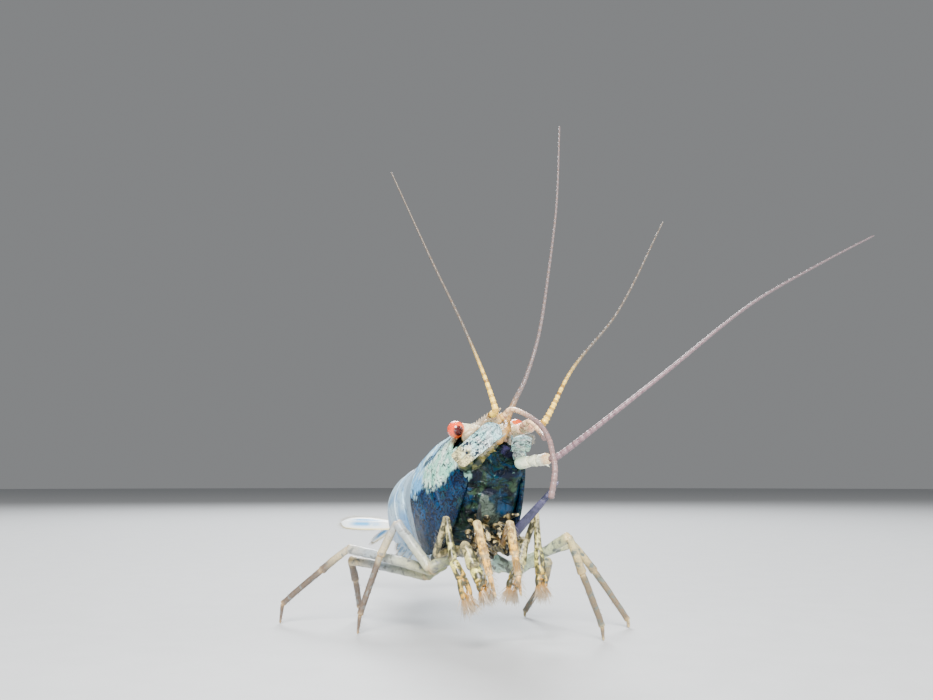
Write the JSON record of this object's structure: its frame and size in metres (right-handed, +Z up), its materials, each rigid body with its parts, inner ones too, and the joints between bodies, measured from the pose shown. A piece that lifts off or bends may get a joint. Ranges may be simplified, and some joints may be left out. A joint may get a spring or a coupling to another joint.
{
  "type": "shrimp model",
  "caption": "Still life-size model of a blue bolt dwarf shrimp, head raised, standing on its walking legs with feelers spread",
  "frame": {"origin": "middle of the bounding box, on the floor that the six feet stand on", "axes": "+Z up, the head points towards -Y, the animal's left side is towards +X"},
  "size_m": [0.026, 0.0334, 0.03],
  "materials": {
    "blue_shell": "glossy thin shell",
    "cream": "satin shell",
    "dark_flesh": "wet flesh",
    "eye_coral": "glossy",
    "feeding_ochre": "satin shell",
    "feeler_pink": "satin shell",
    "leg_pale": "satin shell",
    "pale_shell": "glossy thin shell",
    "scale_mint": "glossy thin shell",
    "shin_tan": "satin shell",
    "tail_white": "glossy thin shell"
  },
  "bodies": {
    "root": {"antenna_base_left": "cream", "antenna_base_right": "cream", "antenna_left_far": "feeler_pink", "antenna_left_near": "feeler_pink", "antenna_right_far": "feeler_pink", "antenna_right_near": "feeler_pink", "antenna_scale_left": "scale_mint", "antenna_scale_right": "scale_mint", "antennule_inner_left": "cream", "antennule_inner_right": "cream", "antennule_left": "cream", "antennule_outer_left": "cream", "antennule_outer_right": "cream", "antennule_right": "cream", "carapace": "blue_shell", "cheliped_1_left": "feeding_ochre", "cheliped_1_right": "feeding_ochre", "cheliped_2_left": "feeding_ochre", "cheliped_2_right": "feeding_ochre", "eye_left": "eye_coral", "eye_right": "eye_coral", "eyestalk_left": "cream", "eyestalk_right": "cream", "leg_3_lower_left": "shin_tan", "leg_3_lower_right": "shin_tan", "leg_3_upper_left": "leg_pale", "leg_3_upper_right": "leg_pale", "leg_4_lower_left": "shin_tan", "leg_4_lower_right": "shin_tan", "leg_4_upper_left": "leg_pale", "leg_4_upper_right": "leg_pale", "leg_5_lower_left": "shin_tan", "leg_5_lower_right": "shin_tan", "leg_5_upper_left": "leg_pale", "leg_5_upper_right": "leg_pale", "maxilliped_3_left": "feeding_ochre", "maxilliped_3_right": "feeding_ochre", "mouthparts": "feeding_ochre", "pleon_1": "pale_shell", "pleon_2": "pale_shell", "pleon_3": "pale_shell", "pleon_4": "pale_shell", "pleon_5": "pale_shell", "pleon_6": "pale_shell", "pleopod_1_left": "pale_shell", "pleopod_1_right": "pale_shell", "pleopod_2_left": "pale_shell", "pleopod_2_right": "pale_shell", "pleopod_3_left": "pale_shell", "pleopod_3_right": "pale_shell", "pleopod_4_left": "pale_shell", "pleopod_4_right": "pale_shell", "pleopod_5_left": "pale_shell", "pleopod_5_right": "pale_shell", "telson": "tail_white", "thorax": "dark_flesh", "uropods_left": "tail_white", "uropods_right": "tail_white"}
  },
  "joints": []
}
